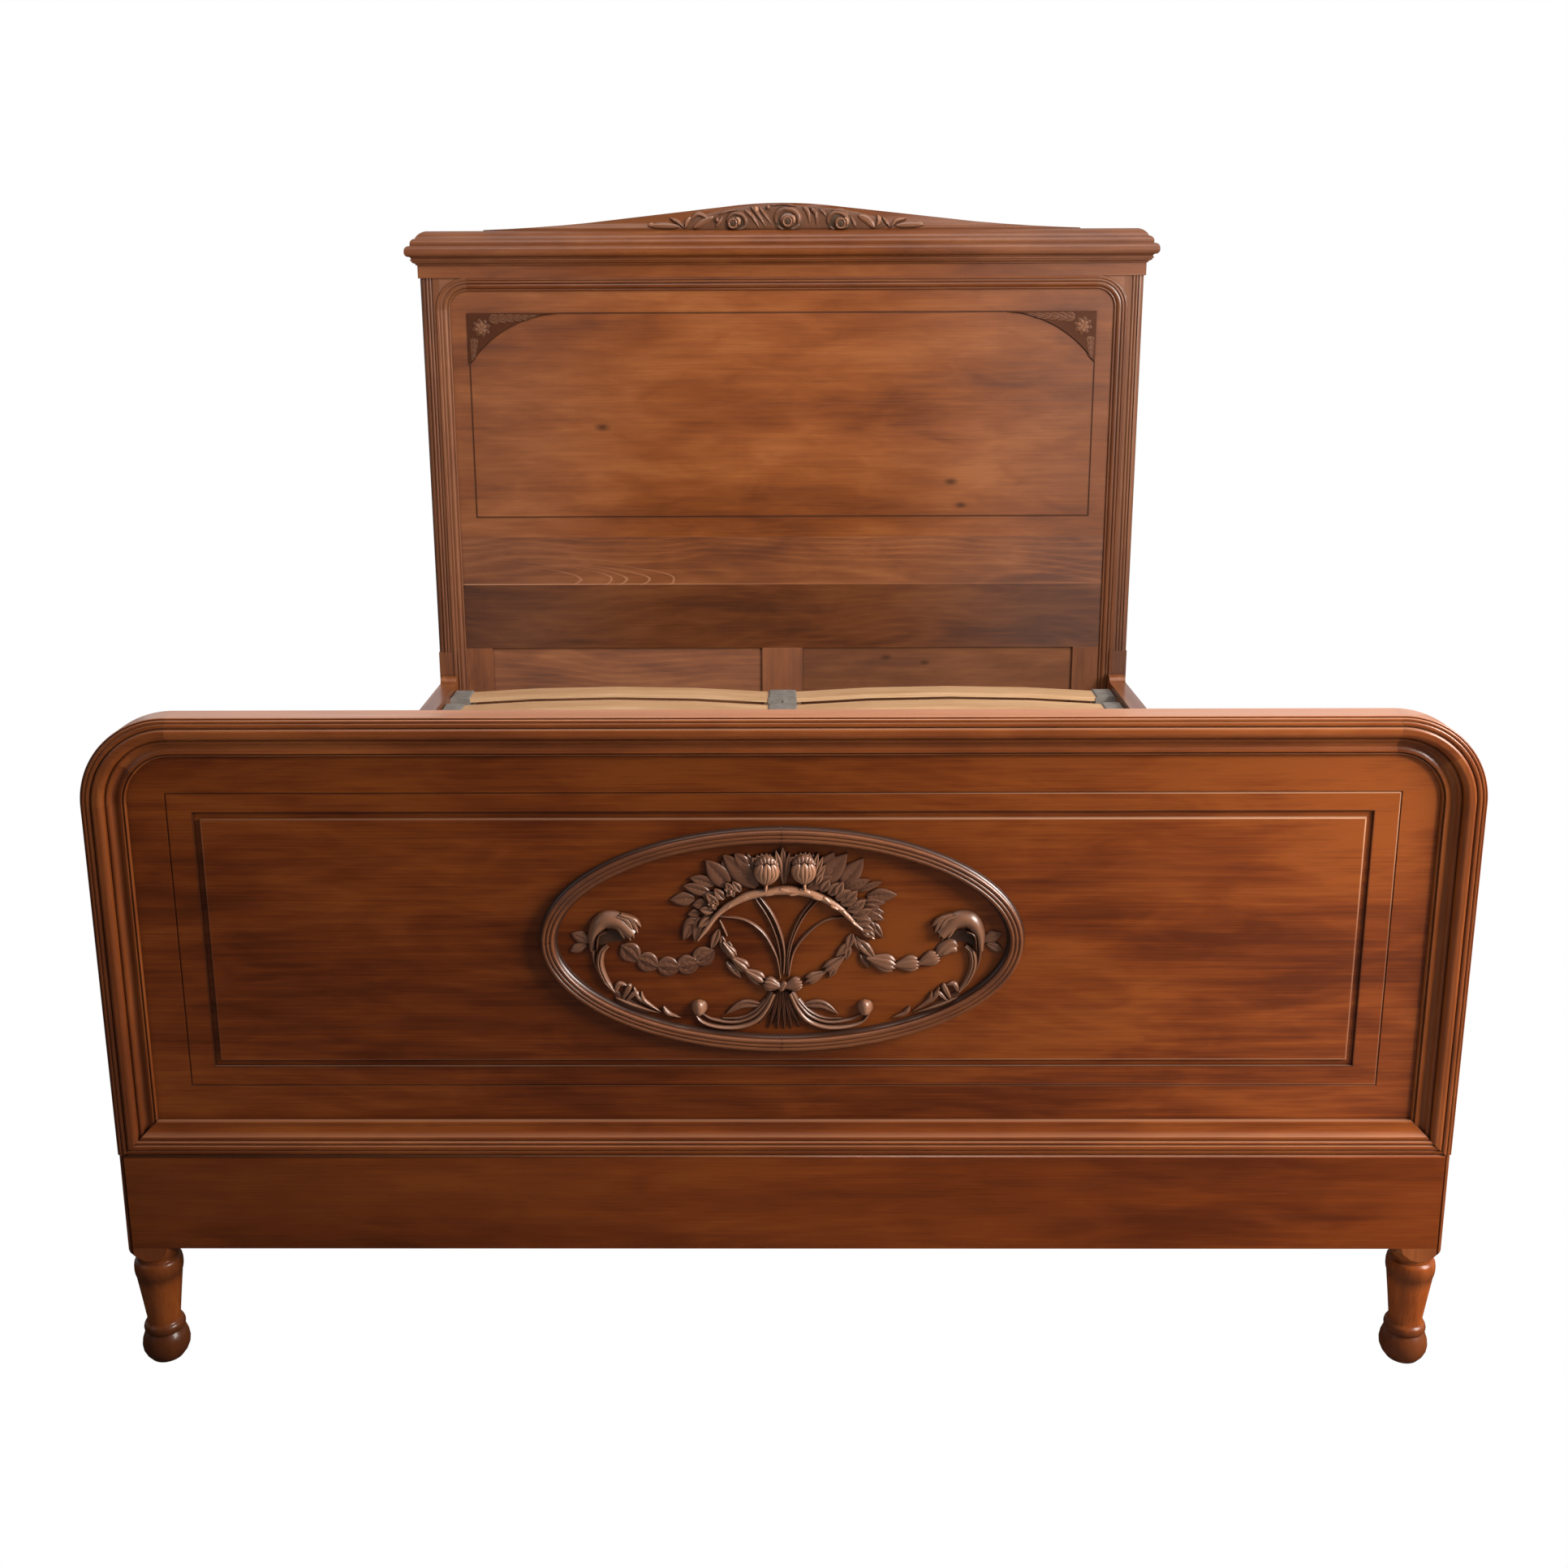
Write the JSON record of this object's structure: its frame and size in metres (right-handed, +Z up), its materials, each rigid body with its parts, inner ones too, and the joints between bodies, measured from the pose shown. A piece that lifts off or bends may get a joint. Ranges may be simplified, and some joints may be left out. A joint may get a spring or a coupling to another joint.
{
  "type": "double bed",
  "caption": "Double bed with a corniced, panelled headboard, a round-cornered footboard with an oval carved medallion on turned feet, and side rails carrying sprung bowed slats.",
  "frame": {"origin": "on the floor, at the middle of the bed's overall width and length", "axes": "+X to the right as seen from the foot of the bed, +Y from the foot to the head, +Z up"},
  "size_m": [1.734, 2.1323, 1.5315],
  "materials": {
    "polished_wood": "polished, medium red-brown",
    "carved_wood": "polished carving, worn lighter on its high points",
    "support_wood": "plain planed softwood",
    "slat_wood": "satin lacquered beech laminate",
    "holder_rubber": "matt grey, finely ribbed",
    "steel_fittings": "plain"
  },
  "bodies": {
    "root": {"foot_post_left": "polished_wood", "foot_post_right": "polished_wood", "front_feet": "polished_wood", "foot_corners_lower": "polished_wood", "foot_corners_upper": "polished_wood", "foot_top_rail": "polished_wood", "foot_base_moulding": "polished_wood", "foot_apron": "polished_wood", "foot_bottom_rail": "polished_wood", "foot_panel": "polished_wood", "head_post_left": "polished_wood", "head_post_right": "polished_wood", "head_top_rail": "polished_wood", "head_frieze": "polished_wood", "cornice_front": "polished_wood", "cornice_returns": "polished_wood", "crest": "polished_wood", "head_panel": "polished_wood", "head_upper_board": "polished_wood", "head_mid_rail": "polished_wood", "head_lower_stile_left": "polished_wood", "head_lower_stile_right": "polished_wood", "head_muntin": "polished_wood", "head_lower_panel_left": "polished_wood", "head_lower_panel_right": "polished_wood", "head_bottom_rail": "polished_wood", "head_moulding_left": "polished_wood", "head_moulding_right": "polished_wood", "head_moulding_corners": "polished_wood", "head_moulding_top": "polished_wood", "side_rail_left": "polished_wood", "side_rail_right": "polished_wood", "medallion_ring": "carved_wood", "medallion_carving": "carved_wood", "crest_carving": "carved_wood", "corner_carvings": "carved_wood", "foot_frame_tenons": "support_wood", "ledger_left": "support_wood", "ledger_right": "support_wood", "centre_beam": "support_wood", "beam_block_head": "support_wood", "beam_block_foot": "support_wood", "beam_leg": "support_wood", "slats_left": "slat_wood", "slats_right": "slat_wood", "slat_holders_left": "holder_rubber", "slat_holders_right": "holder_rubber", "centre_holders": "holder_rubber", "bed_hooks": "steel_fittings", "hook_keepers": "steel_fittings"}
  },
  "joints": []
}
